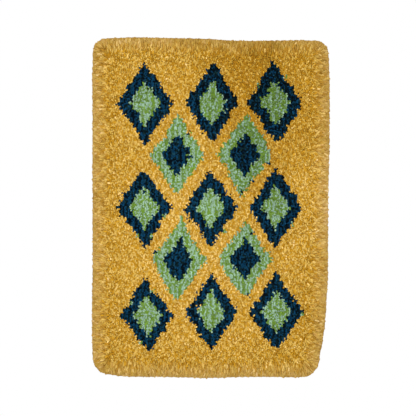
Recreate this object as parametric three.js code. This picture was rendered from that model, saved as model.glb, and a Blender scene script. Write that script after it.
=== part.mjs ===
// A tufted wall hanging: a thick mat of short cut pile on its ground cloth, hung flat on a wall.
// Millimetres, +Z up, the pile facing -Y. The back lies on the wall plane, y = 0, and the origin
// is the middle of the ground cloth's top edge on that plane.

import * as THREE from "three";

// Driving dimensions
const WIDTH = 300;
const HEIGHT = 430;
const THICKNESS = 14; // ground cloth and pile together
const RIM_REACH = 17; // from the flat face's edge out to the outline
const WIDEST_OFF_WALL = 6.6; // where the fanned-out edge pile reaches furthest
const CLOTH_EDGE_IN = 5; // the ground cloth ends this far inside the outline

// Locks of the edge pile, each a low ridge that runs round the rim from the cloth to the face.
// Two beats, in radians a station, make some locks fuller than others.
const LOCK_PITCH = 8;
const LOCK_DEPTH = 0.5;
const LOCK_UNEVENNESS = 0.3;
const LOCK_BEATS = { quick: 1.7, slow: 0.43 };

// Fineness of the mesh
const FACE_CELL = 12;
const BACK_CELL = 45;
const RIM_STEPS_FRONT = 5;
const RIM_STEPS_BACK = 2;
const CORNER_STEPS = 3; // on each side of a corner's middle
const CORNER_TURN = 0.02; // share of a side's turn that each half of a corner takes

const YARN_COLOUR = 0xc8963a;

// How far the long edges stand in from the full width, by distance down from the top.
const LONG_EDGES = [
  { down: 0, left: 1.2, right: 2.2 },
  { down: 14, left: 1.2, right: 1.6 },
  { down: 30, left: 1.1, right: 0.9 },
  { down: 50, left: 0.3, right: 0.2 },
  { down: 85, left: 0.8, right: 0.1 },
  { down: 130, left: 0.8, right: 0.3 },
  { down: 165, left: 0.6, right: 1.1 },
  { down: 205, left: 1.0, right: 1.9 },
  { down: 300, left: 0.9, right: 2.3 },
  { down: 340, left: 0.2, right: 4.3 },
  { down: 364, left: 0.1, right: 6.0 },
  { down: 384, left: 0.2, right: 8.7 },
  { down: 404, left: 0.8, right: 12.4 },
  { down: 430, left: 2.4, right: 16.6 },
];

// How far the short edges stand in from the full height, by distance along from the left.
const SHORT_EDGES = [
  { along: 0, top: 2.0, bottom: 7.4 },
  { along: 10, top: 1.6, bottom: 6.2 },
  { along: 22, top: 1.4, bottom: 4.6 },
  { along: 34, top: 0.8, bottom: 2.8 },
  { along: 52, top: 0.1, bottom: 1.7 },
  { along: 90, top: 0.9, bottom: 1.8 },
  { along: 120, top: 1.4, bottom: 1.2 },
  { along: 150, top: 2.2, bottom: 0.2 },
  { along: 172, top: 4.2, bottom: 0.7 },
  { along: 200, top: 4.6, bottom: 1.6 },
  { along: 240, top: 4.1, bottom: 1.7 },
  { along: 262, top: 3.7, bottom: 1.2 },
  { along: 280, top: 4.0, bottom: 1.5 },
  { along: 300, top: 3.8, bottom: 2.6 },
];

// Soft swellings and hollows of the sheared face: where each is centred, how far it spreads,
// and how much it lifts the pile.
const FACE_LUMPS = [
  { along: 52, down: 70, spread: 46, lift: 0.5 },
  { along: 118, down: 34, spread: 40, lift: 0.4 },
  { along: 196, down: 60, spread: 44, lift: -0.7 },
  { along: 252, down: 118, spread: 50, lift: 0.4 },
  { along: 92, down: 176, spread: 38, lift: -0.5 },
  { along: 168, down: 206, spread: 48, lift: 0.5 },
  { along: 44, down: 268, spread: 42, lift: 0.4 },
  { along: 236, down: 282, spread: 44, lift: -0.5 },
  { along: 122, down: 322, spread: 46, lift: 0.5 },
  { along: 206, down: 376, spread: 42, lift: 0.4 },
  { along: 66, down: 388, spread: 36, lift: -0.5 },
];

// A column of a table at a place between its rows, eased from row to row.
function between(rows, key, column, at) {
  const last = rows.length - 1;
  let i = 0;
  while (i < last - 1 && rows[i + 1][key] < at) i += 1;
  const share = (at - rows[i][key]) / (rows[i + 1][key] - rows[i][key]);
  const eased = THREE.MathUtils.smoothstep(share, 0, 1);
  return THREE.MathUtils.lerp(rows[i][column], rows[i + 1][column], eased);
}

// Takes a point of the plain upright rectangle to its place on the uneven, hand-trimmed mat.
function trimmed(along, down) {
  const left = between(LONG_EDGES, "down", "left", down);
  const right = WIDTH - between(LONG_EDGES, "down", "right", down);
  const top = between(SHORT_EDGES, "along", "top", along);
  const bottom = HEIGHT - between(SHORT_EDGES, "along", "bottom", along);
  return {
    x: THREE.MathUtils.lerp(left, right, along / WIDTH) - WIDTH / 2,
    z: -THREE.MathUtils.lerp(top, bottom, down / HEIGHT),
  };
}

const CLOTH_TOP = trimmed(WIDTH / 2, CLOTH_EDGE_IN).z;

function faceLift(along, down) {
  return FACE_LUMPS.reduce((lift, lump) => {
    const away = Math.hypot(along - lump.along, down - lump.down) / lump.spread;
    return lift + lump.lift * Math.exp(-away * away);
  }, 0);
}

// The mesh is gathered here: points with an index each, and triangles that face outwards.
const positions = [];
const triangles = [];

function addPoint(along, down, offWall) {
  const { x, z } = trimmed(along, down);
  positions.push(x, -offWall, z - CLOTH_TOP);
  return positions.length / 3 - 1;
}

// Stations round the flat face's edge, clockwise from its top left corner. Each has its place,
// the way out from it, and turn, which goes from 0 to 4 round the four sides.
function edgeStations(pitch, cornerSteps) {
  const wide = WIDTH - 2 * RIM_REACH;
  const high = HEIGHT - 2 * RIM_REACH;
  const corners = [
    { along: RIM_REACH, down: RIM_REACH },
    { along: RIM_REACH + wide, down: RIM_REACH },
    { along: RIM_REACH + wide, down: RIM_REACH + high },
    { along: RIM_REACH, down: RIM_REACH + high },
  ];
  const stations = [];
  corners.forEach((corner, side) => {
    const next = corners[(side + 1) % 4];
    for (let step = -cornerSteps; step <= cornerSteps; step += 1) {
      const share = cornerSteps ? step / cornerSteps : 0;
      stations.push({
        ...corner,
        way: (side * 90 - 45 + 45 * share) * THREE.MathUtils.DEG2RAD,
        turn: (side + CORNER_TURN * share + 4) % 4,
      });
    }
    const steps = Math.round((side % 2 ? high : wide) / pitch);
    for (let step = 1; step < steps; step += 1) {
      const share = step / steps;
      stations.push({
        along: THREE.MathUtils.lerp(corner.along, next.along, share),
        down: THREE.MathUtils.lerp(corner.down, next.down, share),
        way: side * 90 * THREE.MathUtils.DEG2RAD,
        turn: side + CORNER_TURN + (1 - 2 * CORNER_TURN) * share,
      });
    }
  });
  return stations.sort((a, b) => a.turn - b.turn);
}

// Joins two loops that run the same way round, the second one further along the surface.
function joinLoops(first, second) {
  let i = 0;
  let j = 0;
  const point = (loop, k) => loop[k % loop.length].index;
  const turn = (loop, k) => loop[k % loop.length].turn + 4 * Math.floor(k / loop.length);
  while (i < first.length || j < second.length) {
    const firstAhead = i < first.length ? turn(first, i + 1) : Infinity;
    const secondAhead = j < second.length ? turn(second, j + 1) : Infinity;
    if (firstAhead <= secondAhead) {
      triangles.push(point(first, i), point(first, i + 1), point(second, j));
      i += 1;
    } else {
      triangles.push(point(first, i), point(second, j + 1), point(second, j));
      j += 1;
    }
  }
}

// A grid of points over the rectangle inside the rim, and its edge as a loop. A grid that faces
// the wall is wound the other way.
function faceGrid(cell, offWall, facesWall) {
  const wide = WIDTH - 2 * RIM_REACH;
  const high = HEIGHT - 2 * RIM_REACH;
  const columns = Math.round(wide / cell);
  const rows = Math.round(high / cell);
  const grid = [];
  for (let row = 0; row <= rows; row += 1) {
    grid.push([]);
    for (let column = 0; column <= columns; column += 1) {
      const along = RIM_REACH + (wide * column) / columns;
      const down = RIM_REACH + (high * row) / rows;
      grid[row].push(addPoint(along, down, offWall(along, down)));
    }
  }
  for (let row = 0; row < rows; row += 1) {
    for (let column = 0; column < columns; column += 1) {
      const upperLeft = grid[row][column];
      const upperRight = grid[row][column + 1];
      const lowerLeft = grid[row + 1][column];
      const lowerRight = grid[row + 1][column + 1];
      if (facesWall) {
        triangles.push(upperLeft, upperRight, lowerRight, upperLeft, lowerRight, lowerLeft);
      } else {
        triangles.push(upperLeft, lowerRight, upperRight, upperLeft, lowerLeft, lowerRight);
      }
    }
  }
  const edge = [
    ...grid[0].slice(0, columns),
    ...grid.slice(0, rows).map((line) => line[columns]),
    ...grid[rows].slice(1).reverse(),
    ...grid.slice(1).map((line) => line[0]).reverse(),
  ];
  return edgeStations(cell, 0).map((station, k) => ({ ...station, index: edge[k] }));
}

// The rim's section from the flat face round to the wall, as two quarter ellipses. The locks
// are deepest at the widest part, and the face's swellings die out on the way there.
function rimSection() {
  const section = [];
  for (let step = 1; step <= RIM_STEPS_FRONT; step += 1) {
    const angle = (Math.PI / 2) * (step / RIM_STEPS_FRONT);
    section.push({
      reach: RIM_REACH * Math.sin(angle),
      offWall: WIDEST_OFF_WALL + (THICKNESS - WIDEST_OFF_WALL) * Math.cos(angle),
      lockShare: Math.sin(angle),
      liftShare: Math.cos(angle),
    });
  }
  for (let step = 1; step <= RIM_STEPS_BACK; step += 1) {
    const angle = (Math.PI / 2) * (step / RIM_STEPS_BACK);
    section.push({
      reach: RIM_REACH - CLOTH_EDGE_IN * (1 - Math.cos(angle)),
      offWall: WIDEST_OFF_WALL * (1 - Math.sin(angle)),
      lockShare: Math.cos(angle),
      liftShare: 0,
    });
  }
  return section;
}

// How far the rim stands out at a station, of which every other one is a ridge.
function lockReach(station) {
  const beat = Math.sin(station * LOCK_BEATS.quick) * Math.cos(station * LOCK_BEATS.slow);
  const fullness = 1 + LOCK_UNEVENNESS * beat;
  return ((station % 2 ? -1 : 1) * LOCK_DEPTH * fullness) / 2;
}

function rimLoop({ reach, offWall, lockShare, liftShare }) {
  return edgeStations(LOCK_PITCH / 2, CORNER_STEPS).map((station, k) => {
    const out = reach + lockReach(k) * lockShare;
    const along = station.along + out * Math.sin(station.way);
    const down = station.down - out * Math.cos(station.way);
    const lift = liftShare * faceLift(along, down);
    return { ...station, index: addPoint(along, down, offWall + lift) };
  });
}

function tuftedMat() {
  const loops = [
    faceGrid(FACE_CELL, (along, down) => THICKNESS + faceLift(along, down), false),
    ...rimSection().map(rimLoop),
    faceGrid(BACK_CELL, () => 0, true),
  ];
  for (let k = 1; k < loops.length; k += 1) joinLoops(loops[k - 1], loops[k]);
  const geometry = new THREE.BufferGeometry();
  geometry.setAttribute("position", new THREE.Float32BufferAttribute(positions, 3));
  geometry.setIndex(triangles);
  geometry.computeVertexNormals();
  return geometry;
}

const cutPile = new THREE.MeshStandardMaterial({
  color: YARN_COLOUR,
  roughness: 0.95,
  metalness: 0,
});

const mat = new THREE.Mesh(tuftedMat(), cutPile);
mat.name = "tufted_mat";

const hanging = new THREE.Group();
hanging.add(mat);

export default hanging;
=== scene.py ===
"""A tufted wall hanging: short cut pile in three yarn mixes, tufted through a ground cloth."""

import math

import bmesh
import bpy
import numpy as np
from mathutils import Matrix, Vector, noise
from mathutils.bvhtree import BVHTree
from mathutils.geometry import delaunay_2d_cdt
from mathutils.kdtree import KDTree


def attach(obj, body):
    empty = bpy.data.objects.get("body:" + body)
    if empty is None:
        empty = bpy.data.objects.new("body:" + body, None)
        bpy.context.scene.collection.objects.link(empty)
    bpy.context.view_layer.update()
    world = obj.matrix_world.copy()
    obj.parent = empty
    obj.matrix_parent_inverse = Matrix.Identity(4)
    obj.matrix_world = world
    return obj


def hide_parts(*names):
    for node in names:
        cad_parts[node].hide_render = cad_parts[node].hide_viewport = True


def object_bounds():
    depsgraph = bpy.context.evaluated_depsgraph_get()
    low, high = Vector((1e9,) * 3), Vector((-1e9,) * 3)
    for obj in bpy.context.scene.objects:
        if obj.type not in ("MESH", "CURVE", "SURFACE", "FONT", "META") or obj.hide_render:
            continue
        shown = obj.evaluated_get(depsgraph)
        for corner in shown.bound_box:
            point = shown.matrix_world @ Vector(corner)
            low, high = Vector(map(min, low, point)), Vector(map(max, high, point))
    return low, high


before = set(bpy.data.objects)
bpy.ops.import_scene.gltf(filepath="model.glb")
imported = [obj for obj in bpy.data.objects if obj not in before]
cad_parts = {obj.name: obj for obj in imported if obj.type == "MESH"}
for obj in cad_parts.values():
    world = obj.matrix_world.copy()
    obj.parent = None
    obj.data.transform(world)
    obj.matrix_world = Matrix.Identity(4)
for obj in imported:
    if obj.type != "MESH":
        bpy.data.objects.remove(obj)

bl_info = {
    "name": "Tufted Wall Hanging",
    "version": (1, 0, 0),
    "blender": (4, 5, 0),
    "location": "View3D > Sidebar > Tufting",
    "description": "Makes a cut pile wall hanging on its ground cloth, yarn by yarn",
    "category": "Object",
}

CAD_BOX = [list(corner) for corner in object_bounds()]
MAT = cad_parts["tufted_mat"]
MM = 0.001
OFF_WALL = Vector((0, -1, 0))

# The yarn mixes, in the order of their numbers in a stitch plan
MUSTARD, NAVY, GREEN = range(3)
SLOTS = ("mustard_pile", "navy_pile", "green_pile")

# A yarn's colours lie in a grid of cells on its UV map. Cells across go from dark to light.
# Cells up go through the first yarn's shades and then the second's.
YARN_MAP = "OFBake"
CELLS_ACROSS = 16
CELLS_UP = 8
SHADES = CELLS_UP // 2
CELL_MARGIN = 0.06

# A tube takes this share of its cell's height, and the disc of its cut end takes the rest.
TUBE_SHARE = 0.9
DISC_HALF_WIDTH = 0.45  # of the cell's width

# Broad patches of painted shade and painted light on the pile, as pile laid away from the light or
# towards it looks: where their middles are, how far they reach, and by how many cells they are
# painted lighter
PAINTED_SHADE_TOP = {"x": 55 * MM, "z": -55 * MM, "reach": 66 * MM, "lighter": -3.4}
PAINTED_SHADE_RIGHT = {"x": 70 * MM, "z": -180 * MM, "reach": 60 * MM, "lighter": -3.0}
PAINTED_LIGHT_MIDDLE = {"x": 0 * MM, "z": -220 * MM, "reach": 120 * MM, "lighter": 3.5}
PAINTED_LIGHT_EDGE = {"x": 150 * MM, "z": -190 * MM, "reach": 45 * MM, "lighter": 3.6}
PAINTED_PATCHES = (PAINTED_SHADE_TOP, PAINTED_SHADE_RIGHT, PAINTED_LIGHT_MIDDLE, PAINTED_LIGHT_EDGE)
PATCH_WIDTH = 0.75  # as a share of a patch's height

# Smaller patches and locks of strands vary in tone at random. They are about this long.
SMALL_PATCH = 45 * MM
LOCK = 11 * MM
LOCK_LIGHTER = 2.0  # cells

# Painted shade darkens the rim from this far inside the cloth's edge, and fully so after this
# width.
RIM_FROM = 40 * MM
RIM_WIDTH = 25 * MM
RIM_PAINTED_SHADE = 0.8  # cells

# Painted side light: the rim's pile is painted paler and duller where it ends this far in, and
# fully so after this width.
SIDE_LIGHT_FROM = 16 * MM
SIDE_LIGHT_WIDTH = 20 * MM

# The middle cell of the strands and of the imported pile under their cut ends
STRAND_CELL = 6.6
STRAND_CELL_SPREAD = {MUSTARD: 1.0, NAVY: 2.2, GREEN: 1.0}
PACKED_CELL = 5.6
PACKED_CELL_SPREAD = 2.2

# A pair of yarns changes sides and back once in about six of these lengths.
TWIST = {MUSTARD: 2.5 * MM, NAVY: 9 * MM, GREEN: 9 * MM}

# How a mix shines, and how its red, green and blue pale where it is lighter, as a painted sheen
FINISH = {
    MUSTARD: {"painted_sheen": (1.0, 1.25, 2.8), "specular": 0.12, "sheen": 0.1},
    NAVY: {"painted_sheen": (1.0, 1.0, 1.0), "specular": 0.03, "sheen": 0.0},
    GREEN: {"painted_sheen": (1.0, 1.0, 1.0), "specular": 0.12, "sheen": 0.1},
}

TOUCHING = 0.001 * MM  # points closer than this are one
WEB_TOLERANCE = 1e-7  # metres, of the corners of a web of triangles


def length_property(name, description, default):
    return bpy.props.FloatProperty(
        name=name, description=description, default=default, unit="LENGTH"
    )


def share_property(name, description, default):
    return bpy.props.FloatProperty(
        name=name, description=description, default=default, subtype="FACTOR"
    )


def count_property(name, description, default):
    return bpy.props.IntProperty(name=name, description=description, default=default)


def colour_property(name, description, default):
    return bpy.props.FloatVectorProperty(
        name=name, description=description, subtype="COLOR", size=3, default=default
    )


class TuftingSizes(bpy.types.PropertyGroup):
    seed: count_property("Seed", "Picks the uneven hand of the maker", 11)
    row_pitch: length_property("Row pitch", "From one upright row to the next", 4.2 * MM)
    stitch_pitch: length_property("Stitch pitch", "Between stitches of a row", 3.8 * MM)
    edge_pitch: length_property("Edge pitch", "Between stitches of an edge row", 3.9 * MM)
    edge_row: length_property("First edge row", "Its depth inside the cloth's edge", 1.5 * MM)
    edge_rows: count_property("Edge rows", "Rows that follow the outline", 3)
    edge_row_pitch: length_property("Edge row pitch", "Between edge rows", 2.9 * MM)
    yarn_radius: length_property(
        "Yarn radius", "Of one strand, of which two are threaded together", 1.25 * MM
    )
    pile_length: length_property("Pile length", "Of a strand from its root", 12 * MM)
    lean: length_property("Lean", "How far a strand's cut end leans to one side", 2 * MM)
    spacing: length_property(
        "Spacing", "How close two cut ends come before they push each other aside", 2.7 * MM
    )
    fan_reach: length_property(
        "Fan reach", "How far in from the cloth's edge the pile begins to fan outwards", 24 * MM
    )
    fan_angle: bpy.props.FloatProperty(
        name="Fan angle",
        description="How far the outermost pile lies over",
        default=math.radians(92),
        subtype="ANGLE",
        unit="ROTATION",
    )
    strays: share_property(
        "Strays", "Share of the stitches near a colour's edge that are of another mix", 0.02
    )


class DiamondSizes(bpy.types.PropertyGroup):
    half_width: length_property("Half width", "Of a diamond", 34 * MM)
    half_height: length_property("Half height", "Of a diamond", 50 * MM)
    core: share_property("Core", "The inner diamond's share of the outer one's size", 0.55)
    across: length_property("Pitch across", "From diamond to diamond along a row", 82 * MM)
    down: length_property("Pitch down", "From one row of diamonds to the next", 66 * MM)
    wander: length_property("Wander", "How far a diamond strays from its place", 2 * MM)
    uneven: share_property("Uneven", "How much a diamond's size and tilt vary", 0.03)
    wobble: share_property("Wobble", "How much a diamond's edge wobbles", 0.025)


class YarnColours(bpy.types.PropertyGroup):
    mustard: colour_property("Mustard", "The lighter ground yarn", (0.568, 0.361, 0.076))
    ochre: colour_property("Ochre", "The darker ground yarn", (0.427, 0.216, 0.0105))
    # Side lit: painted light, the paler and duller colour of the rim's pile where its sides catch
    # the light
    side_lit: colour_property("Side lit", "The ground yarns' shade at the rim", (0.418, 0.288, 0.118))
    navy: colour_property("Navy", "The bluer dark yarn", (0.0020, 0.031, 0.074))
    pine: colour_property("Pine", "The near-black dark yarn", (0.0005, 0.003, 0.006))
    petrol: colour_property("Petrol", "The dark yarns' other shade", (0.009, 0.036, 0.037))
    aqua: colour_property("Aqua", "The paler green yarn", (0.236, 0.366, 0.256))
    leaf: colour_property("Leaf", "The deeper green yarn", (0.111, 0.207, 0.020))
    sage: colour_property("Sage", "The green yarns' other shade", (0.176, 0.286, 0.128))
    cotton: colour_property("Cotton", "The ground cloth", (0.60, 0.52, 0.40))


class ClothSizes(bpy.types.PropertyGroup):
    thickness: length_property("Thickness", "Of the cloth", 0.8 * MM)
    off_wall: length_property("Off the wall", "To the middle of the cloth", 2.3 * MM)
    hem: length_property("Hem", "Width of the edge that is turned to the back", 18 * MM)
    hem_off_wall: length_property("Hem off the wall", "To the middle of the hem", 0.5 * MM)
    thread_pitch: length_property("Thread pitch", "Between threads of the weave", 1.5 * MM)


class StageSizes(bpy.types.PropertyGroup):
    lens: bpy.props.FloatProperty(
        name="Lens", description="Focal length in millimetres", default=85
    )
    view_width: length_property("View width", "Of the picture at the hanging", 524 * MM)
    key_power: bpy.props.FloatProperty(
        name="Key power", description="Of the large soft lamp", default=9, unit="POWER"
    )
    fill_power: bpy.props.FloatProperty(
        name="Fill power", description="Of the lamp on the other side", default=3, unit="POWER"
    )
    floor_drop: length_property("Floor drop", "From the hanging to the floor", 350 * MM)


def put(tree, kind, inputs=None, output=0, **settings):
    """Adds a node, gives its inputs values or links, and returns one of its outputs."""
    node = tree.nodes.new(kind)
    for key, value in settings.items():
        setattr(node, key, value)
    for key, value in (inputs or {}).items():
        if isinstance(value, bpy.types.NodeSocket):
            tree.links.new(value, node.inputs[key])
        else:
            node.inputs[key].default_value = value
    return node.outputs[output]


def maths(tree, operation, *values):
    """A sum of these values or links, worked out by the tree."""
    return put(tree, "ShaderNodeMath", dict(enumerate(values)), operation=operation)


def vector(tree, operation, *values, output=0):
    inputs = dict(enumerate(values))
    return put(tree, "ShaderNodeVectorMath", inputs, output, operation=operation)


def stretched(tree, arrow, length):
    """The arrow made this many times as long."""
    inputs = {0: arrow, "Scale": length}
    return put(tree, "ShaderNodeVectorMath", inputs, operation="SCALE")


def split(tree, place):
    """A place's X, Y and Z."""
    return put(tree, "ShaderNodeSeparateXYZ", {0: place}).node.outputs


def ranged(tree, by, spread, base):
    """Goes from base to base + spread as by goes from 0 to 1."""
    return maths(tree, "MULTIPLY_ADD", by, spread, base)


def shaded(tree, value, by, spread, base):
    """The value times a share over this range."""
    return maths(tree, "MULTIPLY", value, ranged(tree, by, spread, base))


def tinted(tree, colour, shares):
    """The colour with its red, green and blue multiplied by these shares."""
    tint = put(tree, "ShaderNodeCombineColor", dict(enumerate(shares)))
    inputs = {0: 1.0, 6: colour, 7: tint}
    return put(tree, "ShaderNodeMix", inputs, 2, data_type="RGBA", blend_type="MULTIPLY")


def blended(tree, share, first, second, kind="FLOAT"):
    """Goes from the first value to the second as share goes from 0 to 1."""
    a, b, output = {"FLOAT": (2, 3, 0), "VECTOR": (4, 5, 1), "RGBA": (6, 7, 2)}[kind]
    inputs = {0: share, a: first, b: second}
    return put(tree, "ShaderNodeMix", inputs, output, data_type=kind)


def named(tree, name, kind="FLOAT"):
    """What the points carry under this name."""
    inputs = {"Name": name}
    return put(tree, "GeometryNodeInputNamedAttribute", inputs, data_type=kind)


def new_tree(name, sockets):
    """A geometry tree with a mesh in, these named inputs and a mesh out."""
    tree = bpy.data.node_groups.new(name, "GeometryNodeTree")
    tree.interface.new_socket("Geometry", in_out="INPUT", socket_type="NodeSocketGeometry")
    for label, kind in sockets.items():
        tree.interface.new_socket(label, in_out="INPUT", socket_type=f"NodeSocket{kind}")
    tree.interface.new_socket("Geometry", in_out="OUTPUT", socket_type="NodeSocketGeometry")
    return tree, tree.nodes.new("NodeGroupInput").outputs


def in_cell(tree, around, along):
    """Where a place on a strand, from 0 to 1 each way, lies in the strand's cell of the map."""
    keep = 1 - 2 * CELL_MARGIN
    x = ranged(tree, around, spread=keep, base=CELL_MARGIN)
    y = ranged(tree, along, spread=keep, base=CELL_MARGIN)
    x = maths(tree, "DIVIDE", maths(tree, "ADD", x, named(tree, "cell_across")), CELLS_ACROSS)
    y = maths(tree, "DIVIDE", maths(tree, "ADD", y, named(tree, "cell_up")), CELLS_UP)
    return put(tree, "ShaderNodeCombineXYZ", {"X": x, "Y": y})


def finish_tree(tree, geometry, place, material):
    """Stores the map and ends the tree."""
    geometry = put(
        tree,
        "GeometryNodeStoreNamedAttribute",
        {"Geometry": geometry, "Name": YARN_MAP, "Value": place},
        data_type="FLOAT2",
        domain="CORNER",
    )
    geometry = put(tree, "GeometryNodeSetShadeSmooth", {"Geometry": geometry})
    geometry = put(tree, "GeometryNodeRealizeInstances", {"Geometry": geometry})
    inputs = {"Geometry": geometry, "Material": material}
    geometry = put(tree, "GeometryNodeSetMaterial", inputs)
    end = tree.nodes.new("NodeGroupOutput")
    tree.links.new(geometry, end.inputs["Geometry"])


def pile_tree():
    """A strand of yarn on each point, from its root past its knee to its tip."""
    sockets = {
        "Yarn Radius": "Float",
        "Tip Share": "Float",
        "Waver": "Float",
        "Sides": "Int",
        "Points": "Int",
        "Seed": "Int",
        "Yarn": "Material",
    }
    tree, given = new_tree("Cut pile", sockets)
    line = put(tree, "GeometryNodeCurvePrimitiveLine")
    line = put(tree, "GeometryNodeResampleCurve", {"Curve": line, "Count": given["Points"]})
    strands = put(
        tree,
        "GeometryNodeInstanceOnPoints",
        {"Points": given["Geometry"], "Instance": line},
    )
    strands = put(tree, "GeometryNodeRealizeInstances", {"Geometry": strands})

    # Places along a strand crowd towards its tip, which is the part that shows.
    crowding = 2.4
    factor = put(tree, "GeometryNodeSplineParameter")
    left = maths(tree, "SUBTRACT", 1.0, factor)
    share = maths(tree, "SUBTRACT", 1.0, maths(tree, "POWER", left, crowding))
    root, knee, tip = (named(tree, name, "FLOAT_VECTOR") for name in ("root", "knee", "tip"))
    lower = blended(tree, share, root, knee, "VECTOR")
    upper = blended(tree, share, knee, tip, "VECTOR")
    place = blended(tree, share, lower, upper, "VECTOR")
    swing = put(
        tree,
        "FunctionNodeRandomValue",
        {0: (-1, -1, -1), 1: (1, 1, 1), "Seed": given["Seed"]},
        data_type="FLOAT_VECTOR",
    )
    reach = maths(tree, "MULTIPLY", share, given["Waver"])
    place = vector(tree, "ADD", place, stretched(tree, swing, reach))
    strands = put(
        tree, "GeometryNodeSetPosition", {"Geometry": strands, "Position": place}
    )

    # The strand is fluffed out under the surface, where the pile is packed, most of all a
    # quarter of the way up, and rounded at its tip.
    most = (3 / 4) ** 3 * (1 / 4)
    nearly = 0.01
    end = maths(tree, "COMPARE", factor, 1.0, nearly)
    fluff = maths(tree, "MULTIPLY", maths(tree, "POWER", left, 3.0), factor)
    fluff = maths(tree, "MULTIPLY", fluff, 1 / most)
    girth = ranged(tree, fluff, spread=named(tree, "fluff"), base=1.0)
    girth = blended(tree, end, girth, given["Tip Share"])
    girth = maths(tree, "MULTIPLY", girth, named(tree, "girth"))
    girth = maths(tree, "MULTIPLY", girth, given["Yarn Radius"])
    ring = put(
        tree,
        "GeometryNodeCurvePrimitiveCircle",
        {"Resolution": given["Sides"], "Radius": 1.0},
    )
    strands, along = captured(tree, strands, factor)
    strands, centre = captured(tree, strands, put(tree, "GeometryNodeInputPosition"), "VECTOR")
    ring, around = captured(tree, ring, put(tree, "GeometryNodeSplineParameter"))
    inputs = {"Curve": strands, "Profile Curve": ring, "Scale": girth, "Fill Caps": True}
    tubes = put(tree, "GeometryNodeCurveToMesh", inputs)
    tubes = sheared(tree, tubes, centre, along, vector(tree, "SUBTRACT", tip, knee))

    # Round the strand the map runs from 0 to 1. Only the face that closes the ring has
    # corners that lie far apart there. It would run back to 0, so a small value goes up by 1.
    far = 0.25
    middle = put(tree, "GeometryNodeFieldOnDomain", {"Value": around}, domain="FACE")
    spread = maths(tree, "ABSOLUTE", maths(tree, "SUBTRACT", around, middle))
    closing = maths(tree, "GREATER_THAN", spread, far)
    early = maths(tree, "LESS_THAN", around, 0.5)
    turn = maths(tree, "ADD", around, maths(tree, "MULTIPLY", closing, early))

    # The cut end's own small disc lies above the tube in the cell.
    height = put(tree, "GeometryNodeFieldOnDomain", {"Value": along}, domain="FACE")
    cut = maths(tree, "GREATER_THAN", height, 1 - nearly)
    angle = maths(tree, "MULTIPLY", around, 2 * math.pi)
    middle, half = (1 + TUBE_SHARE) / 2, (1 - TUBE_SHARE) / 2
    disc_x = ranged(tree, maths(tree, "COSINE", angle), spread=DISC_HALF_WIDTH, base=0.5)
    disc_y = ranged(tree, maths(tree, "SINE", angle), spread=half, base=middle)
    around = blended(tree, cut, turn, disc_x)
    along = blended(tree, cut, maths(tree, "MULTIPLY", along, TUBE_SHARE), disc_y)
    finish_tree(tree, tubes, in_cell(tree, around, along), given["Yarn"])
    return tree


def sheared(tree, tubes, centre, along, lean):
    """Slides each ring's points along the strand's lean until the ring lies level with the
    mat's surface, as shears leave it. The rings near the root move less."""
    least_climb = 0.45
    surface = named(tree, "surface", "FLOAT_VECTOR")
    lean = vector(tree, "NORMALIZE", lean)
    spoke = vector(tree, "SUBTRACT", put(tree, "GeometryNodeInputPosition"), centre)
    proud = vector(tree, "DOT_PRODUCT", spoke, surface, output="Value")
    climb = vector(tree, "DOT_PRODUCT", lean, surface, output="Value")
    slide = maths(tree, "DIVIDE", proud, maths(tree, "MAXIMUM", climb, least_climb))
    left = maths(tree, "SUBTRACT", 1.0, along)
    share = maths(tree, "SUBTRACT", maths(tree, "MULTIPLY", left, left), 1.0)
    slide = maths(tree, "MULTIPLY", slide, share)
    inputs = {"Geometry": tubes, "Offset": stretched(tree, lean, slide)}
    return put(tree, "GeometryNodeSetPosition", inputs)


def captured(tree, geometry, value, kind="FLOAT"):
    """Keeps a value on a geometry, and returns both."""
    node = tree.nodes.new("GeometryNodeCaptureAttribute")
    node.capture_items.new(kind, "Value")
    tree.links.new(geometry, node.inputs["Geometry"])
    tree.links.new(value, node.inputs["Value"])
    return node.outputs["Geometry"], node.outputs["Value"]


def stitch_tree():
    """A stitch's back on each point: a grain of yarn that lies along its row."""
    sockets = {
        "Length": "Float",
        "Width": "Float",
        "Height": "Float",
        "Segments": "Int",
        "Rings": "Int",
        "Yarn": "Material",
    }
    tree, given = new_tree("Stitch backs", sockets)
    inputs = {"Segments": given["Segments"], "Rings": given["Rings"], "Radius": 0.5}
    grain = put(tree, "GeometryNodeMeshUVSphere", inputs)
    uv = grain.node.outputs["UV Map"]
    grain = put(
        tree,
        "GeometryNodeStoreNamedAttribute",
        {"Geometry": grain, "Name": "round_grain", "Value": uv},
        data_type="FLOAT_VECTOR",
        domain="CORNER",
    )
    turn = put(
        tree,
        "FunctionNodeAlignRotationToVector",
        {"Vector": named(tree, "along", "FLOAT_VECTOR")},
        axis="Z",
        pivot_axis="Y",
    )
    size = put(
        tree,
        "ShaderNodeCombineXYZ",
        {"X": given["Width"], "Y": given["Height"], "Z": given["Length"]},
    )
    grains = put(
        tree,
        "GeometryNodeInstanceOnPoints",
        {"Points": given["Geometry"], "Instance": grain, "Rotation": turn, "Scale": size},
    )
    grains = put(tree, "GeometryNodeRealizeInstances", {"Geometry": grains})
    spot = split(tree, named(tree, "round_grain", "FLOAT_VECTOR"))
    finish_tree(tree, grains, in_cell(tree, spot["X"], spot["Y"]), given["Yarn"])
    return tree


def points_mesh(name, places, columns):
    """A mesh of bare points that carry the columns as attributes."""
    mesh = bpy.data.meshes.new(name)
    mesh.from_pydata([tuple(place) for place in places], [], [])
    for label, values in columns.items():
        values = np.asarray(values, np.float32)
        wide = values.ndim == 2
        kind = "FLOAT_VECTOR" if wide else "FLOAT"
        attribute = mesh.attributes.new(label, kind, "POINT")
        attribute.data.foreach_set("vector" if wide else "value", values.ravel())
    return mesh


def placed(name, data):
    """A new object of this data, in the scene."""
    data.name = name
    piece = bpy.data.objects.new(name, data)
    bpy.context.scene.collection.objects.link(piece)
    return piece


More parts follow.
